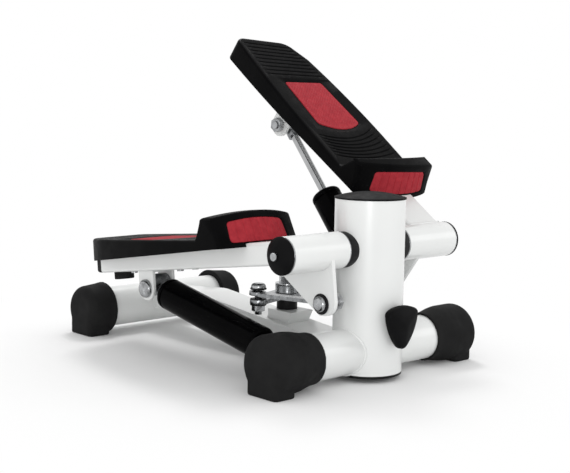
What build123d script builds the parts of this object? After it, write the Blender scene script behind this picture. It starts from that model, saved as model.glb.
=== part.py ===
"""Mini stepper: two pedal levers on one axle, linked by a rocker and slowed by two dampers.

Millimetres, +Z up. The toe end and the front post are at -Y, the heel end is at +Y, and the machine
stands on z = 0 with the middle of its outer box over the origin. The left pedal (-X) is down and the
right pedal (+X) is up.
"""

import os
from math import asin, atan2, cos, degrees, hypot, radians, sin

from build123d import *

# Front post
POST_Y = -175.9
POST_R = 38.0
POST_WALL = 2.5
POST_BOTTOM = 7.6
POST_TOP = 193.8
POST_DOME = 7.5
POST_CAP_LIP = 0.6
POST_CAP_RIM = 1.6
POST_CAP_SKIRT = 10.0
BASE_RING_T = 3.0

# Base tubes and the feet on their ends
BASE_TUBE_R = 25.0
BASE_TUBE_WALL = 2.0
BASE_TUBE_Z = 31.5
FRONT_TUBE_END = 148.0
REAR_TUBE_END = 114.0
REAR_TUBE_Y = POST_Y + 377.3
FRONT_FOOT = (126.0, 155.0)
REAR_FOOT = (91.0, 122.0)
FOOT_HALF_Y = 23.0
FRONT_FOOT_SLEEVE = [(89.0, 27.4), (98.0, 27.8), (106.0, 29.4), (114.0, 31.2), (122.0, 32.2)]
REAR_FOOT_SLEEVE = [(86.0, 32.5), (94.0, 31.2), (110.0, 29.7)]
FOOT_FLAT = 2.0
NOTCH_Y = 18.0
NOTCH_END = 117.0
FOOT_ROUND = 11.0
PAD_CORNER = 6.0
PAD_EDGE = 1.5

# Centre tube, a flat rectangular tube with a slight hump
CENTER_W = 50.0
CENTER_H = 25.0
CENTER_WALL = 2.0
CENTER_FRONT_TOP = 30.5
CENTER_HUMP_TOP = 59.0
CENTER_HUMP_Y = POST_Y + 268.0
CENTER_REAR_TOP = 50.0

# Axle and the lever sleeves that turn on it
AXLE_Y = POST_Y + 1.5
AXLE_Z = 141.3
AXLE_R = 8.0
SLEEVE_R = 19.6
SLEEVE_WALL = 2.2
SLEEVE_IN = 47.7
SLEEVE_OUT = 125.7
BUSH_T = 22.0
RING_T = 1.6
RUN_GAP = 0.05
CAP_DOME = 9.0
CAP_RIM_T = 2.0
CAP_OVERLAP = 0.2
RING_PLAY = 0.3
COLLAR_REACH = 12.0
AXLE_TAP_R = 3.0
AXLE_TAP_DEPTH = 16.0
AXLE_BOLT_R = 4.2
AXLE_BOLT_T = 2.6

# Lever arm: a rectangular tube that drops away slightly under the pedal
LEFT_ANGLE = -5.6
RIGHT_ANGLE = 38.0
ARM_X = 94.0
ARM_W = 50.0
ARM_H = 25.0
ARM_WALL = 2.0
ARM_CORNER = 3.5
ARM_END = 336.0
ARM_TOP_FRONT = 14.9
ARM_SLOPE = 0.0443
PLUG_T = 10.0
PLUG_IN = 14.0
BUMPER_Y = 324.0
BUMPER_R = 12.0
BUMPER_H = 9.5

# Bellcrank plate under the sleeve, and its pin
CRANK_IN = 70.0
CRANK_T = 4.5
PIN_Y = 0.5
PIN_Z = -54.0
PIN_R = 5.0
CRANK_SIDE = [(-17.5, 0), (-19.5, -66.3), (4, -66.3), (55, -27), (55, 0)]
CRANK_ROUNDS = [15, 8, 4]

# Damper: its upper pivot on the arm, its lower pivot behind the front tube
DAMPER_TOP_Y = 257.0
DAMPER_TOP_Z = -42.5
DAMPER_FOOT_Y = POST_Y + 38.0
DAMPER_FOOT_Z = 31.0
BARREL_R = 18.5
BARREL_WALL = 2.5
BARREL_START = 27.0
BARREL_END = 188.0
HEAD_T = 10.0
HEAD_GROOVE = 2.2
SPIGOT = 10.0
ROD_R = 5.0
PISTON_T = 12.0
EYE_R = 13.0
EYE_W = 23.0
FOOT_EYE_R = 12.4
EYE_HOLE_R = 8.9
EYE_OFFSET = 3.2
EYE_PAST = 0.8
TAB_T = 4.0
TAB_PLAY = 0.5
TAB_R = 12.0
DAMPER_BOLT_R = 5.0

# Rocker that makes one pedal rise as the other sinks
ROCKER_Y = POST_Y + 127.9
ROCKER_ARM = 64.9
ROCKER_ANGLE = 17.2
ROCKER_Z = 71.0
ROCKER_T = 5.0
ROCKER_W = 19.0
ROCKER_HOLE_R = 6.0
LINK_X = 63.3
LINK_W = 12.6
LINK_T = 4.0
LINK_END_Z = 83.1
LINK_HOLE_R = 6.6
LINK_EYE_R = 10.0
END_BOLT_R = 4.0
END_HEAD_R = 8.3
END_HEAD_T = 5.5
END_NUT_R = 7.4
END_NUT_T = 6.5

# Pedal, in the lever's own level frame
TREAD_Z = 17.5
PEDAL_WALL = 3.0
DECK_T = 4.0
PEDAL_REAR_DROP = 29.0
PEDAL_IN = 31.0
PEDAL_OUT = 151.0
SEAT_SLACK = 0.3

# Adjusting knob on the front of the post
KNOB_Z = 64.0
KNOB_T = 11.0
KNOB_DOME = 3.0
KNOB_DISC_R = 13.0
KNOB_HUB_R = 9.0
KNOB_SCREW_R = 5.0

os.makedirs("parts", exist_ok=True)


def save(piece, name):
    """Label a finished piece and write it to its own file."""
    piece.label = name
    export_step(piece, f"parts/{name}.step")


def lever_angle(side):
    """Rest angle of a side's lever, about +X."""
    return RIGHT_ANGLE if side > 0 else LEFT_ANGLE


def on_lever(piece, side):
    """Move a piece drawn level on the right of the axle to its place on a side's lever."""
    if side < 0:
        piece = piece.mirror(Plane.YZ)
    return Pos(0, AXLE_Y, AXLE_Z) * Rot(lever_angle(side), 0, 0) * piece


def lever_point(side, y, z):
    """(y, z) in the machine of a point given in a lever's level frame."""
    a = radians(lever_angle(side))
    return (AXLE_Y + y * cos(a) - z * sin(a), AXLE_Z + y * sin(a) + z * cos(a))


def arm_top(y):
    """Height of the arm tube's upper face in the lever's level frame."""
    return ARM_TOP_FRONT - ARM_SLOPE * y


def across(x, y, z):
    """Plane square to X at x, with its own x along Y and its y along Z, centred on (y, z)."""
    return Plane(origin=(x, y, z), x_dir=(0, 1, 0), z_dir=(1, 0, 0))


def dome_middle(radius, rise):
    """(out, up) of the point halfway along a spherical dome's profile, from its crown's foot."""
    sphere = (radius**2 + rise**2) / (2 * rise)
    half = asin(radius / sphere) / 2
    return sphere * sin(half), rise - sphere * (1 - cos(half))


# ---------------------------------------------------------------- frame

# Front post: a thick upright tube, bored for the axle and for the knob's screw
with BuildPart() as front_post:
    with BuildSketch(Plane.XY.offset(POST_BOTTOM)):
        with Locations((0, POST_Y)):
            Circle(POST_R)
            Circle(POST_R - POST_WALL, mode=Mode.SUBTRACT)
    extrude(amount=POST_TOP - POST_BOTTOM)
    with BuildSketch(across(-POST_R, AXLE_Y, AXLE_Z)):
        Circle(AXLE_R)
    extrude(amount=2 * POST_R, mode=Mode.SUBTRACT)
    with BuildSketch(Plane.XZ.offset(-POST_Y)):
        with Locations((0, KNOB_Z)):
            Circle(KNOB_SCREW_R + RUN_GAP)
    extrude(amount=POST_R, mode=Mode.SUBTRACT)
save(front_post.part, "front_post")

# Domed plastic cap pressed into the top of the post
CAP_R = POST_R + POST_CAP_LIP
CAP_FOOT = POST_TOP + POST_CAP_RIM
cap_out, cap_up = dome_middle(CAP_R, POST_DOME - POST_CAP_RIM)
with BuildPart() as post_cap:
    with BuildSketch(Plane.XZ.offset(-POST_Y)):
        with BuildLine():
            Polyline(
                (0, POST_TOP - POST_CAP_SKIRT),
                (POST_R - POST_WALL, POST_TOP - POST_CAP_SKIRT),
                (POST_R - POST_WALL, POST_TOP),
                (CAP_R, POST_TOP),
                (CAP_R, CAP_FOOT),
            )
            ThreePointArc(
                (CAP_R, CAP_FOOT),
                (cap_out, CAP_FOOT + cap_up),
                (0, POST_TOP + POST_DOME),
            )
            Line((0, POST_TOP + POST_DOME), (0, POST_TOP - POST_CAP_SKIRT))
        make_face()
    revolve(axis=Axis((0, POST_Y, 0), (0, 0, 1)))
save(post_cap.part, "post_cap")

# Plastic ring under the post
with BuildPart() as post_base_ring:
    with BuildSketch(Plane.XY.offset(POST_BOTTOM - BASE_RING_T)):
        with Locations((0, POST_Y)):
            Circle(POST_R)
    extrude(amount=BASE_RING_T)
    fillet(post_base_ring.edges().group_by(Axis.Z)[0], 1.2)
    with BuildSketch(Plane.XY.offset(POST_BOTTOM)):
        with Locations((0, POST_Y)):
            Circle(POST_R - POST_WALL)
            Circle(POST_R - POST_WALL - BASE_RING_T, mode=Mode.SUBTRACT)
    extrude(amount=3 * BASE_RING_T)
save(post_base_ring.part, "post_base_ring")

# Front cross tube: two stubs, saddle-cut to the post and welded on
with BuildPart() as front_cross_tube:
    with BuildSketch(across(-FRONT_TUBE_END, POST_Y, BASE_TUBE_Z)):
        Circle(BASE_TUBE_R)
        Circle(BASE_TUBE_R - BASE_TUBE_WALL, mode=Mode.SUBTRACT)
    extrude(amount=2 * FRONT_TUBE_END)
    with BuildSketch(Plane.XY):
        with Locations((0, POST_Y)):
            Circle(POST_R)
    extrude(amount=POST_TOP, mode=Mode.SUBTRACT)
save(front_cross_tube.part, "front_cross_tube")

# Rear cross tube
with BuildPart() as rear_cross_tube:
    with BuildSketch(across(-REAR_TUBE_END, REAR_TUBE_Y, BASE_TUBE_Z)):
        Circle(BASE_TUBE_R)
        Circle(BASE_TUBE_R - BASE_TUBE_WALL, mode=Mode.SUBTRACT)
    extrude(amount=2 * REAR_TUBE_END)
save(rear_cross_tube.part, "rear_cross_tube")


def center_outline(inset):
    """Side view of the centre tube, drawn in from its faces by inset."""
    bend = 60.0
    rear = REAR_TUBE_Y
    return FilletPolyline(
        (POST_Y, CENTER_FRONT_TOP - inset),
        (CENTER_HUMP_Y, CENTER_HUMP_TOP - inset),
        (rear, CENTER_REAR_TOP - inset),
        radius=bend,
    ), FilletPolyline(
        (POST_Y, CENTER_FRONT_TOP - CENTER_H + inset),
        (CENTER_HUMP_Y, CENTER_HUMP_TOP - CENTER_H + inset),
        (rear, CENTER_REAR_TOP - CENTER_H + inset),
        radius=bend,
    )


# Centre tube between the post and the rear cross tube
with BuildPart() as center_tube:
    for inset, mode in ((0, Mode.ADD), (CENTER_WALL, Mode.SUBTRACT)):
        with BuildSketch(across(-CENTER_W / 2 + inset, 0, 0)):
            with BuildLine():
                top, bottom = center_outline(inset)
                Line(top @ 0, bottom @ 0)
                Line(top @ 1, bottom @ 1)
            make_face()
        extrude(amount=CENTER_W - 2 * inset, mode=mode)
    with BuildSketch(Plane.XY):
        with Locations((0, POST_Y)):
            Circle(POST_R)
    extrude(amount=POST_TOP, mode=Mode.SUBTRACT)
    with BuildSketch(across(-CENTER_W, REAR_TUBE_Y, BASE_TUBE_Z)):
        Circle(BASE_TUBE_R)
    extrude(amount=2 * CENTER_W, mode=Mode.SUBTRACT)
save(center_tube.part, "center_tube")


def foot_cap(tube_y, foot, sleeve, tube_end, notch_end):
    """Rubber foot for the right end of a cross tube: a sleeve, a fat rounded end and a flat pad.

    sleeve lists places along the tube with the sleeve's outer radius there, from its rim
    outwards. The sleeve is open at its back as far as notch_end, to clear a damper's bracket.
    """
    inner, outer = foot
    rim = sleeve[0][0]
    with BuildPart() as cap:
        with BuildSketch(Plane.XY.offset(BASE_TUBE_Z)):
            with BuildLine():
                Polyline(
                    (rim, tube_y),
                    *[(x, tube_y + radius) for x, radius in sleeve],
                    (outer, tube_y + sleeve[-1][1]),
                    (outer, tube_y),
                    close=True,
                )
            make_face()
        revolve(axis=Axis((0, tube_y, BASE_TUBE_Z), (1, 0, 0)))
        fillet(cap.faces().sort_by(Axis.X)[-1].edges(), FOOT_ROUND)
        with BuildSketch(Plane.XY.offset(FOOT_FLAT)):
            with Locations(((rim + outer) / 2, tube_y)):
                Rectangle(outer - rim, 4 * BASE_TUBE_R)
        extrude(amount=-BASE_TUBE_R, mode=Mode.SUBTRACT)
        with BuildSketch(Plane.XY):
            with Locations(((inner + outer) / 2, tube_y)):
                RectangleRounded(outer - inner, 2 * FOOT_HALF_Y, PAD_CORNER)
        extrude(amount=BASE_TUBE_Z)
        fillet(cap.faces().sort_by(Axis.Z)[0].edges(), PAD_EDGE)
        with BuildSketch(across(0, tube_y, BASE_TUBE_Z)):
            Circle(BASE_TUBE_R)
        extrude(amount=tube_end, mode=Mode.SUBTRACT)
        if notch_end > rim:
            with BuildSketch(Plane.XY):
                with Locations(((rim + notch_end) / 2, tube_y + NOTCH_Y + BASE_TUBE_R)):
                    Rectangle(notch_end - rim, 2 * BASE_TUBE_R)
            extrude(amount=3 * BASE_TUBE_R, mode=Mode.SUBTRACT)
    return cap.part


front_foot = foot_cap(POST_Y, FRONT_FOOT, FRONT_FOOT_SLEEVE, FRONT_TUBE_END, NOTCH_END)
rear_foot = foot_cap(REAR_TUBE_Y, REAR_FOOT, REAR_FOOT_SLEEVE, REAR_TUBE_END, 0.0)
for end, foot in (("front", front_foot), ("rear", rear_foot)):
    save(foot, f"{end}_right_foot")
    save(foot.mirror(Plane.YZ), f"{end}_left_foot")

# Pivot axle through the post, drilled and tapped at both ends
AXLE_END = SLEEVE_OUT + RING_T + 4
with BuildPart() as pivot_axle:
    with BuildSketch(across(-AXLE_END, AXLE_Y, AXLE_Z)):
        Circle(AXLE_R)
    extrude(amount=2 * AXLE_END)
    for side in (-1, 1):
        with BuildSketch(across(side * AXLE_END, AXLE_Y, AXLE_Z)):
            Circle(AXLE_TAP_R)
        extrude(amount=-side * AXLE_TAP_DEPTH, mode=Mode.SUBTRACT)
save(pivot_axle.part, "pivot_axle")

# Steel thrust rings, one at each end of each sleeve
with BuildPart() as thrust_rings:
    for side in (-1, 1):
        for x in (SLEEVE_IN - RING_T, SLEEVE_OUT + RING_PLAY):
            with BuildSketch(across(side * x, AXLE_Y, AXLE_Z)):
                Circle(SLEEVE_R)
                Circle(AXLE_R, mode=Mode.SUBTRACT)
            extrude(amount=side * (RING_T - RING_PLAY))
save(thrust_rings.part, "thrust_rings")

# Black collars that space the sleeves off the post
with BuildPart() as post_collars:
    for side in (-1, 1):
        with BuildSketch(across(side * (SLEEVE_IN - RING_T), AXLE_Y, AXLE_Z)):
            Circle(SLEEVE_R - 0.4)
            Circle(AXLE_R, mode=Mode.SUBTRACT)
        extrude(amount=-side * COLLAR_REACH)
    with BuildSketch(Plane.XY):
        with Locations((0, POST_Y)):
            Circle(POST_R)
    extrude(amount=POST_TOP, mode=Mode.SUBTRACT)
save(post_collars.part, "post_collars")

# Domed caps over the axle ends
CAP_BACK = SLEEVE_OUT + RING_T
END_CAP_R = SLEEVE_R + CAP_OVERLAP
dome_out, dome_up = dome_middle(END_CAP_R, CAP_DOME - CAP_RIM_T)
with BuildPart() as axle_end_caps:
    for side in (-1, 1):
        with BuildSketch(Plane.XY.offset(AXLE_Z)):
            with BuildLine():
                Polyline(
                    (side * (CAP_BACK + CAP_DOME), AXLE_Y),
                    (side * CAP_BACK, AXLE_Y),
                    (side * CAP_BACK, AXLE_Y + END_CAP_R),
                    (side * (CAP_BACK + CAP_RIM_T), AXLE_Y + END_CAP_R),
                )
                ThreePointArc(
                    (side * (CAP_BACK + CAP_RIM_T), AXLE_Y + END_CAP_R),
                    (side * (CAP_BACK + CAP_RIM_T + dome_up), AXLE_Y + dome_out),
                    (side * (CAP_BACK + CAP_DOME), AXLE_Y),
                )
            make_face()
        revolve(axis=Axis((0, AXLE_Y, AXLE_Z), (1, 0, 0)))
    with BuildSketch(across(-AXLE_END, AXLE_Y, AXLE_Z)):
        Circle(AXLE_R)
    extrude(amount=2 * AXLE_END, mode=Mode.SUBTRACT)
    with BuildSketch(across(-CAP_BACK - CAP_DOME, AXLE_Y, AXLE_Z)):
        Circle(AXLE_TAP_R)
    extrude(amount=2 * (CAP_BACK + CAP_DOME), mode=Mode.SUBTRACT)
save(axle_end_caps.part, "axle_end_caps")

# Small bolts that hold the domed caps on
BOLT_SEAT_X = CAP_BACK + CAP_DOME + 0.2
with BuildPart() as axle_end_bolts:
    for side in (-1, 1):
        with BuildSketch(across(side * (AXLE_END - AXLE_TAP_DEPTH + 2), AXLE_Y, AXLE_Z)):
            Circle(AXLE_TAP_R)
        extrude(amount=side * (BOLT_SEAT_X - AXLE_END + AXLE_TAP_DEPTH - 2))
        with BuildSketch(across(side * BOLT_SEAT_X, AXLE_Y, AXLE_Z)):
            Circle(AXLE_BOLT_R)
        extrude(amount=side * AXLE_BOLT_T)
save(axle_end_bolts.part, "axle_end_bolts")

# Leaning bracket on the centre tube that carries the rocker's pivot
BRACKET_TOP = 56.0
BRACKET_W = 34.0
BRACKET_SIDE = [(22, 30), (-12, 30), (-26, BRACKET_TOP), (14, BRACKET_TOP), (14, 49)]
BOLT_SEAT = 9.0
with BuildPart() as rocker_bracket:
    with BuildSketch(across(-BRACKET_W / 2, ROCKER_Y, 0)):
        with BuildLine():
            Polyline(*BRACKET_SIDE, close=True)
        make_face()
    extrude(amount=BRACKET_W)
    add(center_tube.part, mode=Mode.SUBTRACT)
    with BuildSketch(across(-CENTER_W / 2 + CENTER_WALL, 0, 0)):
        with BuildLine():
            top, bottom = center_outline(CENTER_WALL / 2)
            Line(top @ 0, bottom @ 0)
            Line(top @ 1, bottom @ 1)
        make_face()
    extrude(amount=CENTER_W - 2 * CENTER_WALL, mode=Mode.SUBTRACT)
    with BuildSketch(Plane.XY.offset(BRACKET_TOP)):
        with Locations((0, ROCKER_Y)):
            Circle(ROCKER_HOLE_R)
    extrude(amount=-BOLT_SEAT, mode=Mode.SUBTRACT)
save(rocker_bracket.part, "rocker_bracket")

# Pivot bolt of the rocker, with its wide washer
HUB_TOP = 84.0
HUB_R = 14.0
HUB_PLAY = 0.4
PIVOT_WASHER_T = 2.0
PIVOT_HEAD_R = 10.0
PIVOT_HEAD_T = 8.0
with BuildPart() as rocker_pivot_bolt:
    with BuildSketch(Plane.XY.offset(BRACKET_TOP - BOLT_SEAT)):
        with Locations((0, ROCKER_Y)):
            Circle(ROCKER_HOLE_R)
    extrude(amount=HUB_TOP + HUB_PLAY - BRACKET_TOP + BOLT_SEAT)
    with BuildSketch(Plane.XY.offset(HUB_TOP + HUB_PLAY)):
        with Locations((0, ROCKER_Y)):
            Circle(HUB_R)
    extrude(amount=PIVOT_WASHER_T)
    with BuildSketch(Plane.XY.offset(HUB_TOP + HUB_PLAY + PIVOT_WASHER_T)):
        with Locations((0, ROCKER_Y)):
            RegularPolygon(PIVOT_HEAD_R, 6)
    extrude(amount=PIVOT_HEAD_T)
save(rocker_pivot_bolt.part, "rocker_pivot_bolt")

# Plastic thrust bush under the rocker
with BuildPart() as rocker_thrust_bush:
    with BuildSketch(Plane.XY.offset(BRACKET_TOP)):
        with Locations((0, ROCKER_Y)):
            Circle(HUB_R - 2)
            Circle(ROCKER_HOLE_R, mode=Mode.SUBTRACT)
    extrude(amount=ROCKER_Z - BRACKET_TOP - HUB_PLAY)
save(rocker_thrust_bush.part, "rocker_thrust_bush")

# U brackets behind the front tube for the dampers' lower pivots
TAB_OUT = ARM_X + EYE_W / 2 + TAB_PLAY + TAB_T
TAB_IN = ARM_X - EYE_W / 2 - TAB_PLAY - TAB_T
TAB_REACH = 28.0
with BuildPart() as damper_foot_brackets:
    for side in (-1, 1):
        for x in (TAB_IN, TAB_OUT - TAB_T):
            with BuildSketch(across(side * x, DAMPER_FOOT_Y, DAMPER_FOOT_Z)):
                with Locations((-TAB_REACH / 2, 0)):
                    Rectangle(TAB_REACH, 2 * TAB_R)
                Circle(TAB_R)
            extrude(amount=side * TAB_T)
    with BuildSketch(across(-FRONT_TUBE_END, POST_Y, BASE_TUBE_Z)):
        Circle(BASE_TUBE_R)
    extrude(amount=2 * FRONT_TUBE_END, mode=Mode.SUBTRACT)
    with BuildSketch(across(-FRONT_TUBE_END, DAMPER_FOOT_Y, DAMPER_FOOT_Z)):
        Circle(DAMPER_BOLT_R)
    extrude(amount=2 * FRONT_TUBE_END, mode=Mode.SUBTRACT)
save(damper_foot_brackets.part, "damper_foot_brackets")


NUT_T = 7.0


def cross_bolt(x_head, x_end, y, z, shank_r, head_r, head_t, nut_x, nut_r):
    """Bolt along X with a domed head, pointing from x_head to x_end, and its hex nut at nut_x."""
    out = 1 if x_head > x_end else -1
    with BuildPart() as bolt:
        with BuildSketch(across(x_head, y, z)):
            Circle(shank_r)
        extrude(amount=x_end - x_head)
        with BuildSketch(across(x_head, y, z)):
            Circle(head_r)
        extrude(amount=out * head_t)
        fillet(bolt.faces().sort_by(Axis.X)[-1 if out > 0 else 0].edges(), head_t * 0.8)
        with BuildSketch(across(nut_x, y, z)):
            RegularPolygon(nut_r, 6)
            Circle(shank_r + RUN_GAP, mode=Mode.SUBTRACT)
        extrude(amount=-out * NUT_T)
    return bolt.part


# Bolts and nuts of the dampers' lower pivots
foot_bolt = cross_bolt(
    TAB_OUT, TAB_IN - 8, DAMPER_FOOT_Y, DAMPER_FOOT_Z, DAMPER_BOLT_R, 9.5, 5, TAB_IN, 9.2
)
with BuildPart() as damper_foot_bolts:
    add(foot_bolt)
    mirror(about=Plane.YZ)
save(damper_foot_bolts.part, "damper_foot_bolts")

# ---------------------------------------------------------------- levers


def arm_end(facing):
    """Plane on the arm's rear end; facing is 1 towards the heel and -1 towards the toe."""
    middle = arm_top(ARM_END) - ARM_H / 2
    return Plane(origin=(ARM_X, ARM_END, middle), x_dir=(1, 0, 0), z_dir=(0, facing, 0))


# Sleeve that turns on the axle
with BuildPart() as sleeve:
    with BuildSketch(across(SLEEVE_IN, 0, 0)):
        Circle(SLEEVE_R)
        Circle(SLEEVE_R - SLEEVE_WALL, mode=Mode.SUBTRACT)
    extrude(amount=SLEEVE_OUT - SLEEVE_IN)

# Plastic bushes in the sleeve's two ends
with BuildPart() as sleeve_bushes:
    for x, way in ((SLEEVE_IN, 1), (SLEEVE_OUT, -1)):
        with BuildSketch(across(x, 0, 0)):
            Circle(SLEEVE_R - SLEEVE_WALL)
            Circle(AXLE_R + RUN_GAP, mode=Mode.SUBTRACT)
        extrude(amount=way * BUSH_T)

# Arm tube, cut to the sleeve
with BuildPart() as arm:
    for inset, mode in ((0, Mode.ADD), (ARM_WALL, Mode.SUBTRACT)):
        with BuildSketch(arm_end(-1)):
            RectangleRounded(ARM_W - 2 * inset, ARM_H - 2 * inset, ARM_CORNER - inset)
        extrude(amount=ARM_END * hypot(1, ARM_SLOPE), dir=(0, -1, ARM_SLOPE), mode=mode)
    with BuildSketch(across(0, 0, 0)):
        Circle(SLEEVE_R)
    extrude(amount=SLEEVE_OUT + 40, mode=Mode.SUBTRACT)

# Plug in the rear end of the arm
with BuildPart() as arm_plug:
    for inset, length in ((0, PLUG_T), (ARM_WALL, -PLUG_IN)):
        with BuildSketch(arm_end(1)):
            RectangleRounded(ARM_W - 2 * inset, ARM_H - 2.7 * inset, ARM_CORNER - inset)
        extrude(amount=length)
    fillet(arm_plug.faces().sort_by(Axis.Y)[-1].edges(), 3)

# Bellcrank plate under the sleeve and arm
with BuildPart() as bellcrank:
    with BuildSketch(across(CRANK_IN, 0, 0)):
        with BuildLine():
            edge = FilletPolyline(*CRANK_SIDE, radius=CRANK_ROUNDS)
            Line(edge @ 1, edge @ 0)
        make_face()
        Circle(SLEEVE_R, mode=Mode.SUBTRACT)
        with BuildLine():
            Polyline(
                (0, arm_top(0)),
                (80, arm_top(80)),
                (80, arm_top(80) - ARM_H),
                (0, arm_top(0) - ARM_H),
                close=True,
            )
        make_face(mode=Mode.SUBTRACT)
        with Locations((PIN_Y, PIN_Z)):
            Circle(PIN_R, mode=Mode.SUBTRACT)
    extrude(amount=CRANK_T)

# U bracket under the arm for the damper's upper pivot
EAR_R = 14.0
with BuildPart() as damper_bracket:
    roof = arm_top(DAMPER_TOP_Y) - ARM_H
    for x in (TAB_IN, TAB_OUT - TAB_T):
        with BuildSketch(across(x, DAMPER_TOP_Y, DAMPER_TOP_Z)):
            Circle(EAR_R)
            with BuildLine():
                Polyline(
                    (-EAR_R, 0),
                    (EAR_R, 0),
                    (EAR_R, arm_top(DAMPER_TOP_Y + EAR_R) - ARM_H - DAMPER_TOP_Z),
                    (-EAR_R, arm_top(DAMPER_TOP_Y - EAR_R) - ARM_H - DAMPER_TOP_Z),
                    close=True,
                )
            make_face()
            Circle(DAMPER_BOLT_R, mode=Mode.SUBTRACT)
        extrude(amount=TAB_T)
    with BuildSketch(across(TAB_IN + TAB_T, DAMPER_TOP_Y, roof)):
        with BuildLine():
            Polyline(
                (-EAR_R, EAR_R * ARM_SLOPE),
                (EAR_R, -EAR_R * ARM_SLOPE),
                (EAR_R, -3.2),
                (-EAR_R, -1.8),
                close=True,
            )
        make_face()
    extrude(amount=TAB_OUT - TAB_IN - 2 * TAB_T)

# Rubber bumper under the arm
with BuildPart() as bumper:
    with BuildSketch(
        Plane(
            origin=(ARM_X, BUMPER_Y, arm_top(BUMPER_Y) - ARM_H),
            x_dir=(1, 0, 0),
            z_dir=(0, -ARM_SLOPE, -1),
        )
    ):
        Circle(BUMPER_R)
    extrude(amount=BUMPER_H)
    fillet(bumper.faces().sort_by(Axis.Z)[0].edges(), 1.2)


# Toe guard: an arc in plan, with a front face that leans back and a rear face that leans forward
GUARD_LOW = 12.0
GUARD_FRONT = [(31.0, 79.0), (103.0, 62.3), (151.0, 70.5)]
GUARD_LEAN = 0.40
GUARD_BACK = [(31.0, 111.0), (95.0, 106.0), (151.0, 110.0)]
GUARD_BACK_LEAN = -0.55
GUARD_TOP = 46.0
GUARD_ENDS = 40.5
GUARD_WALL = 4.0
CROWN_ROUND = 3.5
GUARD_PAD = [(53.0, 35.5), (50.0, 13.5), (136.5, 12.5), (134.5, 35.5)]
GUARD_PAD_CROWN = (94.0, 39.0)
PAD_ROUND = 3.0
PAD_SET = 1.2
PAD_DEPTH = 2.0


def pedal_outline(inset=0.0, toe=-3.0):
    """Plan of the pedal: wider at the toe, with the outer heel corner well rounded.

    toe moves the arc at the toe end back from the guard's front face.
    """
    front = [(x, y + toe) for x, y in GUARD_FRONT]
    with BuildSketch() as plan:
        with BuildLine():
            inner = Line(front[0], (PEDAL_IN, 185))
            curl = JernArc(inner @ 1, (0, 1), 1700, -5.0)
            rear_in = curl @ 1
            FilletPolyline(
                rear_in,
                (rear_in.X + 2.1, 357.5),
                (121, 350.5),
                (136.5, 316),
                radius=[13, 20],
            )
            ThreePointArc((136.5, 316), (147.2, 236), (PEDAL_OUT, 150))
            Line((PEDAL_OUT, 150), front[2])
            ThreePointArc(*front)
        make_face()
        if inset:
            offset(amount=-inset, mode=Mode.REPLACE)
    return plan.sketch


def leaning_space(arc, low, lean, ahead, setback=0.0):
    """Space on one side of an arc in plan at height low, carried up and down along a lean.

    ahead is -1 for the space towards the toe and 1 for the space towards the heel.
    """
    reach = 60.0
    beyond = 100.0
    points = [(x, y + setback - reach * lean) for x, y in arc]
    left, right = points[0], points[2]
    far = ahead * 150.0
    with BuildPart() as space:
        with BuildSketch(Plane.XY.offset(low - reach)):
            with BuildLine():
                ThreePointArc(*points)
                Polyline(
                    right,
                    (right[0] + beyond, right[1] + 8),
                    (right[0] + beyond, right[1] + far),
                    (left[0] - beyond, left[1] + far),
                    (left[0] - beyond, left[1] + 8),
                    left,
                )
            make_face()
        direction = Vector(0, lean, 1).normalized()
        extrude(amount=2 * reach / direction.Z, dir=direction)
    return space.part


def guard_block(inset):
    """Toe guard as a solid block, drawn in from its faces by inset."""
    middle = (PEDAL_IN + PEDAL_OUT) / 2
    ends = GUARD_ENDS - inset
    with BuildPart() as block:
        with BuildSketch(Plane.XY.offset(TREAD_Z - DECK_T)):
            with Locations((middle, 85)):
                Rectangle(PEDAL_OUT - PEDAL_IN - 2 * inset, 100)
        extrude(amount=GUARD_TOP - TREAD_Z + DECK_T)
        with BuildSketch(Plane.XZ.offset(-140)):
            with BuildLine():
                ThreePointArc((PEDAL_IN, ends), (middle, GUARD_TOP - inset), (PEDAL_OUT, ends))
                Polyline((PEDAL_OUT, ends), (PEDAL_OUT, 60), (PEDAL_IN, 60), (PEDAL_IN, ends))
            make_face()
        extrude(amount=110, mode=Mode.SUBTRACT)
        add(leaning_space(GUARD_FRONT, GUARD_LOW, GUARD_LEAN, -1, inset), mode=Mode.SUBTRACT)
        add(leaning_space(GUARD_BACK, TREAD_Z, GUARD_BACK_LEAN, 1, -inset), mode=Mode.SUBTRACT)
        if not inset:
            fillet(block.faces().sort_by(Axis.Z)[-1].edges(), CROWN_ROUND)
    return block.part


def tread_pad_outline():
    """Plan of the tread pad: straight at the heel end, bowed at the toe end."""
    with BuildSketch() as plan:
        with BuildLine():
            Polyline((57, 188), (60, 269), (123, 269), (129, 188))
            ThreePointArc((129, 188), (93, 177), (57, 188))
        make_face()
        fillet(plan.vertices(), PAD_ROUND)
    return plan.sketch


def guard_pad_block(inset):
    """Block let into the guard's front face, drawn in at its edges by inset."""
    with BuildPart() as block:
        with BuildSketch(Plane.XZ.offset(-20)) as outline:
            with BuildLine():
                Polyline(*GUARD_PAD)
                ThreePointArc(GUARD_PAD[-1], GUARD_PAD_CROWN, GUARD_PAD[0])
            make_face()
            fillet(outline.vertices(), PAD_ROUND)
            if inset:
                offset(amount=-inset, mode=Mode.REPLACE)
        extrude(amount=-100)
        add(leaning_space(GUARD_FRONT, GUARD_LOW, GUARD_LEAN, -1, PAD_SET), mode=Mode.INTERSECT)
        add(leaning_space(GUARD_FRONT, GUARD_LOW, GUARD_LEAN, -1), mode=Mode.SUBTRACT)
    return block.part


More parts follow.
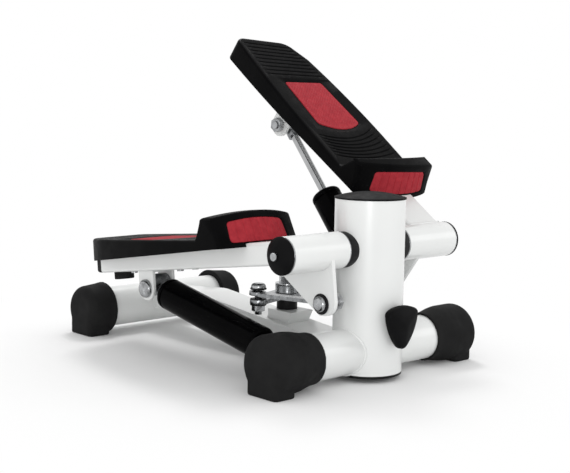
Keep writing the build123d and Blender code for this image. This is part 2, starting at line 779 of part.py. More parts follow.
# Pedal: a hollow plastic tread with skirts, seating ribs on the arm, and the toe guard
RIB_SPOTS = (100.0, 190.0, 280.0)
RIB_T = 12.0
RIB_W = 34.0
SCREW_R = 2.0
SCREW_SPOTS = [(ARM_X + x, y) for x in (-11, 11) for y in (196, 286)]
SCREW_TIP = 12.0
pedal_plan = pedal_outline()
cavity_plan = pedal_outline(PEDAL_WALL, 1.0)
tread_pad_plan = tread_pad_outline()
guard_pocket = guard_pad_block(0.0)
toe_space = leaning_space(GUARD_FRONT, GUARD_LOW, GUARD_LEAN, -1)
guard_solid = guard_block(0)
guard_hollow = guard_block(GUARD_WALL)
with BuildPart() as pedal:
    with BuildSketch(Plane.XY.offset(TREAD_Z - PEDAL_REAR_DROP)):
        add(pedal_plan)
    extrude(amount=PEDAL_REAR_DROP)
    add(guard_solid)
    with BuildSketch(Plane.XY.offset(TREAD_Z - PEDAL_REAR_DROP)):
        add(cavity_plan)
    extrude(amount=PEDAL_REAR_DROP - DECK_T, mode=Mode.SUBTRACT)
    add(guard_hollow, mode=Mode.SUBTRACT)
    # the skirt's lower edge rises towards the toe
    with BuildSketch(across(0, 0, 0)):
        with BuildLine():
            Polyline((370, -11.8), (80, 7.6), (40, 9), (40, -40), (370, -40), close=True)
        make_face()
    extrude(amount=200, mode=Mode.SUBTRACT)
    # the guard's front face runs on down over the skirt
    add(toe_space, mode=Mode.SUBTRACT)
    # mouth for the arm
    with BuildSketch(Plane.XY):
        with Locations((ARM_X, 66)):
            Rectangle(ARM_W + 1, 60)
    extrude(amount=arm_top(60) + SEAT_SLACK, mode=Mode.SUBTRACT)
    # room for the plug in the arm's end
    with BuildSketch(Plane.XY.offset(-ARM_H)):
        with Locations((ARM_X, ARM_END)):
            Rectangle(ARM_W + 1, 2 * PLUG_T + 1)
    extrude(amount=ARM_H + 1, mode=Mode.SUBTRACT)
    # seating ribs between the deck and the arm
    for y in RIB_SPOTS:
        with BuildSketch(across(ARM_X - RIB_W / 2, 0, 0)):
            with BuildLine():
                Polyline(
                    (y, arm_top(y)),
                    (y + RIB_T, arm_top(y + RIB_T)),
                    (y + RIB_T, TREAD_Z - DECK_T),
                    (y, TREAD_Z - DECK_T),
                    close=True,
                )
            make_face()
        extrude(amount=RIB_W)
    # pockets for the two pads
    with BuildSketch(Plane.XY.offset(TREAD_Z)):
        add(tread_pad_plan)
    extrude(amount=-PAD_DEPTH, mode=Mode.SUBTRACT)
    add(guard_pocket, mode=Mode.SUBTRACT)
    # screw holes in the seating ribs
    with BuildSketch(Plane.XY.offset(-20)):
        with Locations(*SCREW_SPOTS):
            Circle(SCREW_R)
    extrude(amount=20 + SCREW_TIP + 0.5, mode=Mode.SUBTRACT)

# Pad let into the tread
with BuildPart() as tread_pad:
    with BuildSketch(Plane.XY.offset(TREAD_Z)):
        add(tread_pad_plan)
        offset(amount=-0.8, mode=Mode.REPLACE)
    extrude(amount=-PAD_DEPTH)

# Pad let into the guard's front face
with BuildPart() as guard_pad:
    add(guard_pad_block(0.4))

# Screw holes through the arm
with BuildPart() as drilled_arm:
    add(arm.part)
    with BuildSketch(Plane.XY.offset(-40)):
        with Locations(*SCREW_SPOTS):
            Circle(SCREW_R)
    extrude(amount=60, mode=Mode.SUBTRACT)

# Lever fasteners: the bellcrank's pin, the damper's bolt and the pedal's screws
PIN_END = 48.0
CRANK_WASHER_T = 1.5
CRANK_WASHER_R = 11.0
crank_bolt = cross_bolt(
    CRANK_IN + CRANK_T + CRANK_WASHER_T, PIN_END, PIN_Y, PIN_Z, PIN_R, 8.5, 4.5, LINK_X - 6.8, 8.6
)
damper_bolt = cross_bolt(
    TAB_OUT, TAB_IN - 9, DAMPER_TOP_Y, DAMPER_TOP_Z, DAMPER_BOLT_R, 11, 5.5, TAB_IN, 9.2
)
with BuildPart() as lever_fasteners:
    add(crank_bolt)
    add(damper_bolt)
    for x, y in SCREW_SPOTS:
        seat = arm_top(y + 4.5) - ARM_H
        with BuildSketch(Plane.XY.offset(seat - 2)):
            with Locations((x, y)):
                Circle(2 * SCREW_R)
        extrude(amount=2)
        with BuildSketch(Plane.XY.offset(seat)):
            with Locations((x, y)):
                Circle(SCREW_R)
        extrude(amount=SCREW_TIP - seat)

# Black washer under the bellcrank pin's head
with BuildPart() as crank_washer:
    with BuildSketch(across(CRANK_IN + CRANK_T, PIN_Y, PIN_Z)):
        Circle(CRANK_WASHER_R)
        Circle(PIN_R, mode=Mode.SUBTRACT)
    extrude(amount=CRANK_WASHER_T)

LEVER_PIECES = {
    "sleeve": sleeve,
    "sleeve_bushes": sleeve_bushes,
    "arm": drilled_arm,
    "arm_plug": arm_plug,
    "bellcrank": bellcrank,
    "crank_washer": crank_washer,
    "damper_bracket": damper_bracket,
    "bumper": bumper,
    "pedal": pedal,
    "tread_pad": tread_pad,
    "guard_pad": guard_pad,
    "lever_fasteners": lever_fasteners,
}
for side, name in ((-1, "left"), (1, "right")):
    for piece, builder in LEVER_PIECES.items():
        save(on_lever(builder.part, side), f"{name}_{piece}")

# ---------------------------------------------------------------- dampers


def damper_run(side):
    """Length and slope of a side's damper at rest, from its foot pivot to its top pivot."""
    y, z = lever_point(side, DAMPER_TOP_Y, DAMPER_TOP_Z)
    run = y - DAMPER_FOOT_Y
    rise = z - DAMPER_FOOT_Z
    return hypot(run, rise), degrees(atan2(rise, run))


def along(y):
    """Plane square to a damper's own axis, at y from its foot pivot."""
    return Plane(origin=(ARM_X, y, 0), x_dir=(1, 0, 0), z_dir=(0, 1, 0))


def on_damper(piece, side):
    """Move a piece drawn along +Y from the foot pivot to its place on a side's damper."""
    if side < 0:
        piece = piece.mirror(Plane.YZ)
    return Pos(0, DAMPER_FOOT_Y, DAMPER_FOOT_Z) * Rot(damper_run(side)[1], 0, 0) * piece


# Barrel: a closed tube with an eye at its foot
with BuildPart() as barrel:
    with BuildSketch(along(BARREL_START)):
        Circle(BARREL_R)
    extrude(amount=BARREL_END - BARREL_START)
    fillet(barrel.faces().sort_by(Axis.Y)[0].edges(), 4)
    with BuildSketch(along(BARREL_START + 6)):
        Circle(BARREL_R - BARREL_WALL)
    extrude(amount=BARREL_END - BARREL_START, mode=Mode.SUBTRACT)
    with BuildSketch(along(4)):
        Circle(9)
    extrude(amount=BARREL_START - 3)
    with BuildSketch(across(ARM_X - EYE_W / 2, 0, 0)):
        Circle(FOOT_EYE_R)
    extrude(amount=EYE_W)
    with BuildSketch(across(ARM_X - EYE_W / 2, 0, 0)):
        Circle(DAMPER_BOLT_R + RUN_GAP)
    extrude(amount=EYE_W, mode=Mode.SUBTRACT)

# Head that closes the barrel and guides the rod, with a groove below its rim
with BuildPart() as head:
    with BuildSketch(along(BARREL_END - SPIGOT)):
        Circle(BARREL_R - BARREL_WALL)
    extrude(amount=SPIGOT)
    with BuildSketch(along(BARREL_END)):
        Circle(BARREL_R - 1.8)
    extrude(amount=HEAD_GROOVE)
    with BuildSketch(along(BARREL_END + HEAD_GROOVE)):
        Circle(BARREL_R)
    extrude(amount=HEAD_T - HEAD_GROOVE)
    fillet(head.faces().sort_by(Axis.Y)[-1].edges(), 5)
    with BuildSketch(along(BARREL_END - SPIGOT)):
        Circle(ROD_R + RUN_GAP)
    extrude(amount=HEAD_T + SPIGOT, mode=Mode.SUBTRACT)

PISTON_Y = BARREL_START + 10
ROD_LENGTH = damper_run(-1)[0] - PISTON_Y - EYE_HOLE_R
for side, name in ((-1, "left"), (1, "right")):
    run = damper_run(side)[0]
    rod_tip = run - EYE_HOLE_R
    # Chromed rod with its piston
    with BuildPart() as rod:
        with BuildSketch(along(rod_tip - ROD_LENGTH)):
            Circle(ROD_R)
        extrude(amount=ROD_LENGTH)
        with BuildSketch(along(rod_tip - ROD_LENGTH)):
            Circle(BARREL_R - BARREL_WALL - RUN_GAP)
        extrude(amount=PISTON_T)
    # Eye on the rod's end; its hole is wide enough for the linkage's play
    with BuildPart() as rod_eye:
        with BuildSketch(across(ARM_X - EYE_W / 2, run + EYE_PAST, EYE_OFFSET)):
            Circle(EYE_R)
        extrude(amount=EYE_W)
        with BuildSketch(along(run - 18)):
            Circle(8)
        extrude(amount=10)
        with BuildSketch(across(ARM_X - EYE_W / 2, run + EYE_PAST, EYE_OFFSET)):
            Circle(EYE_HOLE_R)
        extrude(amount=EYE_W, mode=Mode.SUBTRACT)
        add(rod.part, mode=Mode.SUBTRACT)
    save(on_damper(barrel.part, side), f"{name}_damper_barrel")
    save(on_damper(head.part, side), f"{name}_damper_head")
    save(on_damper(rod.part, side), f"{name}_damper_rod")
    save(on_damper(rod_eye.part, side), f"{name}_rod_eye")

# ---------------------------------------------------------------- rocker and links


def on_rocker(piece):
    """Turn a piece drawn with the rocker square across the machine to its place at rest."""
    return Pos(0, ROCKER_Y, 0) * Rot(0, 0, ROCKER_ANGLE) * piece


# Rocker: a bar with a hub, one end for each link
with BuildPart() as rocker:
    with BuildSketch(Plane.XY.offset(ROCKER_Z)):
        SlotCenterToCenter(2 * ROCKER_ARM, ROCKER_W)
        RectangleRounded(50, 34, 8)
        Circle(ROCKER_HOLE_R + RUN_GAP, mode=Mode.SUBTRACT)
        with Locations((-ROCKER_ARM, 0), (ROCKER_ARM, 0)):
            Circle(END_BOLT_R, mode=Mode.SUBTRACT)
    extrude(amount=ROCKER_T)
    with BuildSketch(Plane.XY.offset(ROCKER_Z + ROCKER_T)):
        Circle(HUB_R)
        Circle(ROCKER_HOLE_R + RUN_GAP, mode=Mode.SUBTRACT)
    extrude(amount=HUB_TOP - ROCKER_Z - ROCKER_T)
save(on_rocker(rocker.part), "rocker")

# Upright bolts at the rocker's ends, with their nuts
WASHER_LOW = 87.2
WASHER_T = 1.6
END_REACH = 12.0
with BuildPart() as rocker_end_bolts:
    for x in (-ROCKER_ARM, ROCKER_ARM):
        with BuildSketch(Plane.XY.offset(ROCKER_Z - END_REACH)):
            with Locations((x, 0)):
                Circle(END_BOLT_R)
        extrude(amount=WASHER_LOW + WASHER_T - ROCKER_Z + END_REACH)
        with BuildSketch(Plane.XY.offset(WASHER_LOW + WASHER_T)):
            with Locations((x, 0)):
                Circle(END_HEAD_R)
        extrude(amount=END_HEAD_T)
        with BuildSketch(Plane.XY.offset(ROCKER_Z - WASHER_T - END_NUT_T)):
            with Locations((x, 0)):
                RegularPolygon(END_NUT_R, 6)
                Circle(END_BOLT_R + RUN_GAP, mode=Mode.SUBTRACT)
        extrude(amount=END_NUT_T)
    fillet(rocker_end_bolts.faces().group_by(Axis.Z)[-1].edges(), 4)
save(on_rocker(rocker_end_bolts.part), "rocker_end_bolts")

# Black washers above and below the links and the rocker's ends
with BuildPart() as rocker_end_washers:
    for z, t in (
        (ROCKER_Z - WASHER_T, WASHER_T),
        (ROCKER_Z + ROCKER_T, WASHER_T / 2),
        (WASHER_LOW, WASHER_T),
    ):
        with BuildSketch(Plane.XY.offset(z)):
            with Locations((-ROCKER_ARM, 0), (ROCKER_ARM, 0)):
                Circle(END_HEAD_R + 0.9)
                Circle(END_BOLT_R, mode=Mode.SUBTRACT)
        extrude(amount=t)
save(on_rocker(rocker_end_washers.part), "rocker_end_washers")

# Links: a flat strap with a rolled eye on the bellcrank's pin; its rear end lies level on average
LINK_LENGTH = 111.9
LINK_END = 13.0
LINK_END_R = 9.5
LINK_CRANK = 6.1
end_rise = LINK_END * sin(radians(LINK_CRANK))
with BuildPart() as link:
    with BuildSketch(across(LINK_X - LINK_W / 2, 0, 0)):
        with Locations((LINK_LENGTH / 2 - 6, 0)):
            Rectangle(LINK_LENGTH - 12, LINK_T)
        Circle(LINK_EYE_R)
        Circle(PIN_R + RUN_GAP, mode=Mode.SUBTRACT)
    extrude(amount=LINK_W)
    end_plane = Plane(
        origin=(LINK_X, LINK_LENGTH - LINK_END, 0),
        x_dir=(1, 0, 0),
        z_dir=(0, -sin(radians(LINK_CRANK)), cos(radians(LINK_CRANK))),
    )
    with BuildSketch(end_plane.offset(-LINK_T / 2)):
        with Locations((0, (LINK_END - 1) / 2)):
            Rectangle(LINK_W, LINK_END + 1)
        with Locations((0, LINK_END)):
            Circle(LINK_END_R)
            Circle(LINK_HOLE_R, mode=Mode.SUBTRACT)
    extrude(amount=LINK_T)
for side, name in ((-1, "left"), (1, "right")):
    pin_y, pin_z = lever_point(side, PIN_Y, PIN_Z)
    tilt = degrees(asin((pin_z - LINK_END_Z + end_rise) / LINK_LENGTH))
    shape = link.part if side > 0 else link.part.mirror(Plane.YZ)
    save(Pos(0, pin_y, pin_z) * Rot(-tilt, 0, 0) * shape, f"{name}_link")

# ---------------------------------------------------------------- adjusting knob

KNOB_GAP = 6.0
KNOB_RUB = 0.3
KNOB_BACK = POST_Y - POST_R - KNOB_GAP


def knob_plane(y):
    """Plane square to Y at y, facing the toe end, centred on the knob."""
    return Plane(origin=(0, y, KNOB_Z), x_dir=(1, 0, 0), z_dir=(0, -1, 0))


# Three-cornered knob, one corner down, with a slightly domed face and a short hub
with BuildPart() as knob:
    with BuildSketch(knob_plane(KNOB_BACK)):
        with BuildLine():
            ThreePointArc((-23.2, 14.6), (0, 20.2), (23.2, 14.6))
            ThreePointArc((23.2, 14.6), (17.3, -6), (4, -24.5))
            ThreePointArc((4, -24.5), (0, -26), (-4, -24.5))
            ThreePointArc((-4, -24.5), (-17.3, -6), (-23.2, 14.6))
        make_face()
    extrude(amount=KNOB_T)
    fillet(knob.edges().filter_by(Axis.Y).sort_by(Axis.Z)[-2:], 6)
    fillet(knob.faces().sort_by(Axis.Y)[0].edges(), 2.5)
    with BuildSketch(knob_plane(KNOB_BACK - KNOB_T)):
        Circle(KNOB_DISC_R)
    extrude(amount=KNOB_DOME)
    fillet(knob.faces().sort_by(Axis.Y)[0].edges(), 0.9 * KNOB_DOME)
    with BuildSketch(knob_plane(KNOB_BACK)):
        Circle(KNOB_HUB_R)
    extrude(amount=-KNOB_GAP + KNOB_RUB)
    with BuildSketch(knob_plane(KNOB_BACK - KNOB_GAP)):
        Circle(KNOB_SCREW_R)
    extrude(amount=-20, mode=Mode.SUBTRACT)
save(knob.part, "adjusting_knob")

# Screw moulded into the knob; it reaches through the post's wall
with BuildPart() as knob_screw:
    with BuildSketch(knob_plane(KNOB_BACK - KNOB_GAP)):
        Circle(KNOB_SCREW_R)
    extrude(amount=-30)
save(knob_screw.part, "knob_screw")
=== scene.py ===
"""Mini stepper: the looks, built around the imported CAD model.

Lengths are in millimetres until MM turns them into metres. The studio is in metres. The pedals and
what sits on them are made in the lever's own frame: u runs out from the machine's middle, s along
the arm towards the heel, and h up from the axle.
"""

import math

import bmesh
import bpy
from mathutils import Matrix, Vector


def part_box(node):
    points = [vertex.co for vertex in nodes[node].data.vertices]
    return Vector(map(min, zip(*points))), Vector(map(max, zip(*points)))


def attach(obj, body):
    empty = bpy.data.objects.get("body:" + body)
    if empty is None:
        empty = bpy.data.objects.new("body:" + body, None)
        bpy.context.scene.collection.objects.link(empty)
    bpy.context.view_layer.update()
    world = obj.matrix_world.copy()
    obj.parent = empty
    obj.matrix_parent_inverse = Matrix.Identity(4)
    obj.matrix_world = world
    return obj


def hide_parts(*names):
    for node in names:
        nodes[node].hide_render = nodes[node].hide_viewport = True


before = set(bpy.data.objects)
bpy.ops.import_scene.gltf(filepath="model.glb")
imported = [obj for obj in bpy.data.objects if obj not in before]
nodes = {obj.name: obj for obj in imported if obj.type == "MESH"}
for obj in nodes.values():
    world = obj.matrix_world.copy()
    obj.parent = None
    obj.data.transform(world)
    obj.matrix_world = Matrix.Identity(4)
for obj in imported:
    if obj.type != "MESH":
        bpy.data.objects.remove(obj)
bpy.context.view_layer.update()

MM = 0.001
SIDES = {"left": -1, "right": 1}
LEVER_ANGLE = {"left": math.radians(-5.6), "right": math.radians(38.0)}


def middle(node):
    """Centre of a CAD node's box, in millimetres."""
    low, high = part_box(node)
    return (low + high) / 2 / MM


# Places and sizes of the CAD parts that the finer pieces are built on
POST_Y = middle("front_post").y
POST_R = (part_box("front_post")[1].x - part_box("front_post")[0].x) / 2 / MM
AXLE = middle("pivot_axle")
TUBE_R = 25.0
TUBE_Z = middle("front_cross_tube").z
SLEEVE_R = 19.6
ARM_U = 94.0
ARM_W = 50.0
ARM_TOP = 14.2
ARM_BOTTOM = -10.8


# ---------------------------------------------------------------- materials


def shader(name, **sockets):
    """New material whose Principled sockets are given with _ for each space in their names."""
    made = bpy.data.materials.new(name)
    made.use_nodes = True
    for socket, value in sockets.items():
        made.node_tree.nodes["Principled BSDF"].inputs[socket.replace("_", " ")].default_value = value
    return made


def rgb(red, green, blue):
    return (red, green, blue, 1.0)


# The part of 0 to 1 that a noise pattern mostly fills
NOISE_LOW = 0.3
NOISE_HIGH = 0.7


def noise(material, scale, detail=3.0):
    """Noise pattern fixed to the object; scale is in cells per metre."""
    tree = material.node_tree
    place = tree.nodes.new("ShaderNodeTexCoord")
    pattern = tree.nodes.new("ShaderNodeTexNoise")
    pattern.inputs["Scale"].default_value = scale
    pattern.inputs["Detail"].default_value = detail
    tree.links.new(place.outputs["Object"], pattern.inputs["Vector"])
    return pattern.outputs["Fac"]


def tint(material, pattern, dark, light):
    """Base colour that drifts from dark to light with a pattern."""
    tree = material.node_tree
    ramp = tree.nodes.new("ShaderNodeValToRGB")
    ramp.color_ramp.elements[0].position = NOISE_LOW
    ramp.color_ramp.elements[0].color = dark
    ramp.color_ramp.elements[1].position = NOISE_HIGH
    ramp.color_ramp.elements[1].color = light
    tree.links.new(pattern, ramp.inputs["Fac"])
    tree.links.new(ramp.outputs["Color"], tree.nodes["Principled BSDF"].inputs["Base Color"])


def roughen(material, pattern, smooth, rough):
    """Roughness that drifts from smooth to rough with a pattern."""
    tree = material.node_tree
    spread = tree.nodes.new("ShaderNodeMapRange")
    spread.inputs["From Min"].default_value = NOISE_LOW
    spread.inputs["From Max"].default_value = NOISE_HIGH
    spread.inputs["To Min"].default_value = smooth
    spread.inputs["To Max"].default_value = rough
    tree.links.new(pattern, spread.inputs["Value"])
    tree.links.new(spread.outputs["Result"], tree.nodes["Principled BSDF"].inputs["Roughness"])


def bump(material, pattern, strength, depth):
    """Relief from a pattern, this many millimetres deep."""
    tree = material.node_tree
    relief = tree.nodes.new("ShaderNodeBump")
    relief.inputs["Strength"].default_value = strength
    relief.inputs["Distance"].default_value = depth * MM
    tree.links.new(pattern, relief.inputs["Height"])
    tree.links.new(relief.outputs["Normal"], tree.nodes["Principled BSDF"].inputs["Normal"])


def white_enamel():
    """Glossy white powder coat with a faint orange peel."""
    made = shader("white_enamel", Coat_Weight=0.35, Coat_Roughness=0.12)
    tint(made, noise(made, 18), rgb(0.69, 0.70, 0.692), rgb(0.715, 0.725, 0.717))
    roughen(made, noise(made, 60), 0.29, 0.32)
    bump(made, noise(made, 420, 1.0), 0.05, 0.2)
    return made


def moulded_black():
    """Spark-eroded grain of the pedal mouldings."""
    made = shader("pedal_plastic", Specular_IOR_Level=0.02)
    tint(made, noise(made, 30), rgb(0.0018, 0.0018, 0.0020), rgb(0.0036, 0.0036, 0.0038))
    roughen(made, noise(made, 90), 0.36, 0.50)
    bump(made, noise(made, 1500, 4.0), 0.35, 0.18)
    return made


def red_rubber():
    """Muted crimson anti-slip pad."""
    made = shader("red_pad", Specular_IOR_Level=0.08)
    tint(made, noise(made, 160), rgb(0.28, 0.018, 0.027), rgb(0.36, 0.027, 0.037))
    roughen(made, noise(made, 300), 0.55, 0.72)
    bump(made, noise(made, 1100, 5.0), 0.55, 0.22)
    return made


def black_rubber():
    """Dull rubber of the feet and bumpers, slightly dusty."""
    made = shader("black_rubber", Specular_IOR_Level=0.08)
    tint(made, noise(made, 25), rgb(0.009, 0.009, 0.0092), rgb(0.014, 0.014, 0.0142))
    roughen(made, noise(made, 80), 0.68, 0.85)
    bump(made, noise(made, 900, 5.0), 0.4, 0.2)
    return made


def gloss_plastic():
    """Black caps and knob: satin, with a very fine texture."""
    made = shader("gloss_black_plastic", Specular_IOR_Level=0.05)
    tint(made, noise(made, 40), rgb(0.003, 0.003, 0.0033), rgb(0.006, 0.006, 0.0064))
    roughen(made, noise(made, 120), 0.50, 0.62)
    bump(made, noise(made, 1300, 3.0), 0.15, 0.1)
    return made


def matt_plastic():
    """Black collars, bushes, rings and plugs."""
    made = shader("black_plastic", Specular_IOR_Level=0.15)
    tint(made, noise(made, 60), rgb(0.005, 0.005, 0.0055), rgb(0.010, 0.010, 0.0105))
    roughen(made, noise(made, 150), 0.42, 0.58)
    bump(made, noise(made, 1200, 3.0), 0.3, 0.12)
    return made


def black_enamel():
    """Gloss black paint of the dampers."""
    made = shader("black_enamel", Specular_IOR_Level=0.02)
    tint(made, noise(made, 25), rgb(0.0008, 0.0008, 0.0010), rgb(0.0018, 0.0018, 0.0020))
    roughen(made, noise(made, 70), 0.14, 0.22)
    bump(made, noise(made, 350, 1.5), 0.08, 0.2)
    return made


def chrome():
    """Hard chrome of the damper rods, with a slightly uneven polish."""
    made = shader("chrome_rod", Metallic=1.0)
    tint(made, noise(made, 60), rgb(0.36, 0.365, 0.37), rgb(0.46, 0.465, 0.47))
    roughen(made, noise(made, 500, 2.0), 0.07, 0.16)
    return made


def zinc(name, dark, light, smooth, rough):
    """Zinc plate: a mottled grey metal with fine pits."""
    made = shader(name, Metallic=1.0)
    tint(made, noise(made, 140, 5.0), dark, light)
    roughen(made, noise(made, 260, 4.0), smooth, rough)
    bump(made, noise(made, 800, 4.0), 0.25, 0.12)
    return made


MATERIALS = {
    "white_enamel": white_enamel(),
    "pedal_plastic": moulded_black(),
    "red_pad": red_rubber(),
    "black_rubber": black_rubber(),
    "gloss_black_plastic": gloss_plastic(),
    "black_plastic": matt_plastic(),
    "black_enamel": black_enamel(),
    "chrome_rod": chrome(),
    "eye_steel": zinc("eye_steel", rgb(0.15, 0.155, 0.16), rgb(0.30, 0.31, 0.32), 0.22, 0.40),
    "zinc_plate": zinc("zinc_plate", rgb(0.16, 0.165, 0.17), rgb(0.34, 0.35, 0.36), 0.18, 0.36),
    "zinc_steel": zinc("zinc_steel", rgb(0.22, 0.225, 0.23), rgb(0.48, 0.49, 0.50), 0.14, 0.30),
}


# ---------------------------------------------------------------- mesh helpers


# Points nearer than this are merged: in a CAD mesh, and where a closed sweep meets its start
MERGE_GAP = 0.01
SEAM_GAP = 0.1


def between(start, end, share):
    """Number at a share of the way from start to end."""
    return start + (end - start) * share


def hump(share):
    """0 at both ends and 1 in the middle."""
    return 1 - (2 * share - 1) ** 2


def add_object(name, mesh, slot, body):
    """Puts a finished mesh in the scene, in its material, riding on a CAD body."""
    made = bpy.data.objects.new(name, mesh)
    bpy.context.scene.collection.objects.link(made)
    mesh.materials.clear()
    mesh.materials.append(MATERIALS[slot])
    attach(made, body)
    return made


def smooth(mesh, angle):
    """Smooth shading, with edges sharper than an angle in degrees kept sharp."""
    mesh.polygons.foreach_set("use_smooth", [True] * len(mesh.polygons))
    mesh.set_sharp_from_angle(angle=math.radians(angle))


def to_mesh(name, bm):
    """Mesh from a bmesh, which is then freed."""
    mesh = bpy.data.meshes.new(name)
    bm.to_mesh(mesh)
    bm.free()
    return mesh


def from_bmesh(name, bm, angle=35.0):
    """Mesh from a bmesh, with its faces turned outwards and shaded smooth."""
    bmesh.ops.recalc_face_normals(bm, faces=bm.faces)
    mesh = to_mesh(name, bm)
    smooth(mesh, angle)
    return mesh


def applied(mesh, *modifiers):
    """Copy of a mesh with modifiers applied; each is a type and a dict of its settings."""
    carrier = bpy.data.objects.new("carrier", mesh)
    bpy.context.scene.collection.objects.link(carrier)
    for kind, settings in modifiers:
        modifier = carrier.modifiers.new(kind, kind)
        for setting, value in settings.items():
            setattr(modifier, setting, value)
    bpy.context.view_layer.update()
    graph = bpy.context.evaluated_depsgraph_get()
    result = bpy.data.meshes.new_from_object(carrier.evaluated_get(graph))
    bpy.data.objects.remove(carrier)
    return result


def cut(mesh, cutter):
    """Mesh with another closed mesh cut out of it."""
    tool = bpy.data.objects.new("tool", cutter)
    bpy.context.scene.collection.objects.link(tool)
    result = applied(mesh, ("BOOLEAN", {"operation": "DIFFERENCE", "solver": "EXACT", "object": tool}))
    bpy.data.objects.remove(tool)
    return result


def loft(bm, loops, closed_ends=True):
    """Skins closed loops of equal length, in order, and caps the two ends."""
    rings = [[bm.verts.new(point) for point in loop] for loop in loops]
    for first, second in zip(rings, rings[1:]):
        count = len(first)
        for k in range(count):
            after = (k + 1) % count
            bm.faces.new((first[k], first[after], second[after], second[k]))
    if closed_ends:
        bm.faces.new(rings[0])
        bm.faces.new(rings[-1])


def tube_along(bm, path, profile, closed=False):
    """Sweeps a section along a path of (point, up direction) places.

    profile(k) gives the section at place k as (side, up) points.
    """
    count = len(path)
    loops = []
    for k, (point, up) in enumerate(path):
        ahead = path[(k + 1) % count][0] if closed or k < count - 1 else point
        behind = path[(k - 1) % count][0] if closed or k > 0 else point
        run = (ahead - behind).normalized()
        side = run.cross(up).normalized()
        rise = side.cross(run).normalized()
        loops.append([point + side * a + rise * b for a, b in profile(k)])
    if closed:
        loops.append(loops[0])
    loft(bm, loops, closed_ends=not closed)
    if closed:
        bmesh.ops.remove_doubles(bm, verts=bm.verts, dist=SEAM_GAP * MM)


# ---------------------------------------------------------------- lever frame


def lever_matrix(side):
    """Turns places in the lever frame, in millimetres, into places in the scene, in metres."""
    sign = SIDES[side]
    return (
        Matrix.Scale(MM, 4)
        @ Matrix.Translation(AXLE)
        @ Matrix.Rotation(LEVER_ANGLE[side], 4, "X")
        @ Matrix.Diagonal((sign, 1, 1, 1))
    )


def from_lever(name, bm, side, angle):
    """Mesh placed in the scene from a bmesh in the lever frame, mirrored on the left side."""
    bmesh.ops.recalc_face_normals(bm, faces=bm.faces)
    bm.transform(lever_matrix(side))
    if side == "left":
        bmesh.ops.reverse_faces(bm, faces=bm.faces)
    mesh = to_mesh(name, bm)
    smooth(mesh, angle)
    return mesh


# Driving dimensions of the pedal, as in the CAD. GUARD_FRONT and the pocket hold (u, s) points.
TREAD_H = 17.5
GUARD_FRONT = ((31.0, 79.0), (103.0, 62.3), (151.0, 70.5))
GUARD_LOW = 12.0
GUARD_LEAN = 0.40
GUARD_PAD = ((50.0, 136.5), (53.0, 134.5))
GUARD_PAD_LOW = 13.0
GUARD_PAD_TOP = 35.5
GUARD_PAD_BOW = 3.5
GUARD_PAD_T = 1.2
PAD_DEPTH = 2.0
INNER_U = 31.0
INNER_CURL = 185.0
INNER_CURL_R = 1700.0
OUTER_U = 151.0
OUTER_CURL = 150.0
OUTER_CURL_POWER = 1.75
HEEL_U = 136.5
HEEL_CORNER = 316.0
HEEL_CORNER_SLOPE = 15.5 / 34.5
POCKET = ((57, 188), (60, 269), (123, 269), (129, 188))
POCKET_BOW = 11.0

# Rounds on the pedal's edges, and how the edges are told apart: within EDGE_BAND of the outline or
# behind HEEL_START is outside, below SOFT_ANGLE degrees is part of a curve, and before CROWN_END
# is the guard's crown, which is round already
EDGE_ROUND = 3.4
SKIRT_ROUND = 0.9
GUARD_FILLET = 5.0
EDGE_BAND = 2.5
SOFT_ANGLE = 25.0
CROWN_END = 100.0
GUARD_END = 125.0
HEEL_START = 340.0
UPRIGHT_H = 8.0
ON_TREAD = 0.1
BEVEL_UNIT = 10.0
BEVEL_STEPS = 5
FLAT_ANGLE = 0.4
PEDAL_SHARP = 28.0
FLAT_WEIGHT = 90

# Sloped frame round the tread pad, as (u, s) corners, and how its cutter runs past it
PAD_FRAME = ((46, 178), (50, 275), (138, 273), (148, 191))
PAD_FRAME_BOW = 13.0
PAD_FRAME_DEPTH = 1.5
PAD_FRAME_W = 7.0
PAD_FRAME_OVERLAP = 1.6
CUTTER_RISE = 0.5
CUTTER_REACH = CUTTER_RISE / (PAD_FRAME_DEPTH / PAD_FRAME_W)
LOOP_STEPS = 14

# Tread grooves: the section's half widths and heights, and s at the inner and outer ends of the
# first and the last groove of each set
GROOVE_DEPTH = 1.3
GROOVE_SECTION = ((1.9, 0.5), (1.1, -0.25), (0.75, -1.0), (0.25, -GROOVE_DEPTH))
GROOVE_STEPS = 30
GROOVE_RUN_OUT = 2.5
GROOVE_INNER_GAP = 8.5
GROOVE_OUTER_GAP = 6.5
HEEL_GROOVES = 9
HEEL_FIRST = (283.0, 280.0)
HEEL_LAST = (345.5, 338.5)
HEEL_LAST_GAP = 14.0
TOE_GROOVES = 7
TOE_FIRST = (168.0, 180.0)
TOE_LAST = (131.0, 132.0)
TOE_BOWS = (14.0, 8.0)


def outer_edge(s):
    """u of the tread's outer edge at s: straight, a curve inwards, then the heel's cut corner."""
    if s > HEEL_CORNER:
        return HEEL_U - (s - HEEL_CORNER) * HEEL_CORNER_SLOPE
    share = max(0.0, (s - OUTER_CURL) / (HEEL_CORNER - OUTER_CURL))
    return OUTER_U - (OUTER_U - HEEL_U) * share**OUTER_CURL_POWER


def inner_edge(s):
    """u of the tread's inner edge at s: straight, then a large arc towards the heel."""
    return INNER_U + max(0.0, s - INNER_CURL) ** 2 / (2 * INNER_CURL_R)


def quad_loop(corners, bow, height, grow=0.0):
    """Loop round a four-cornered outline whose last side, at the toe, bows towards the toe."""
    centre = Vector((sum(c[0] for c in corners) / 4, sum(c[1] for c in corners) / 4))
    points = []
    for k in range(4):
        start = Vector(corners[k])
        end = Vector(corners[(k + 1) % 4])
        for j in range(LOOP_STEPS):
            share = j / LOOP_STEPS
            point = start.lerp(end, share)
            if k == 3:
                point.y -= bow * hump(share)
            away = (point - centre).normalized()
            points.append((point.x + away.x * grow, point.y + away.y * grow, height))
    return points


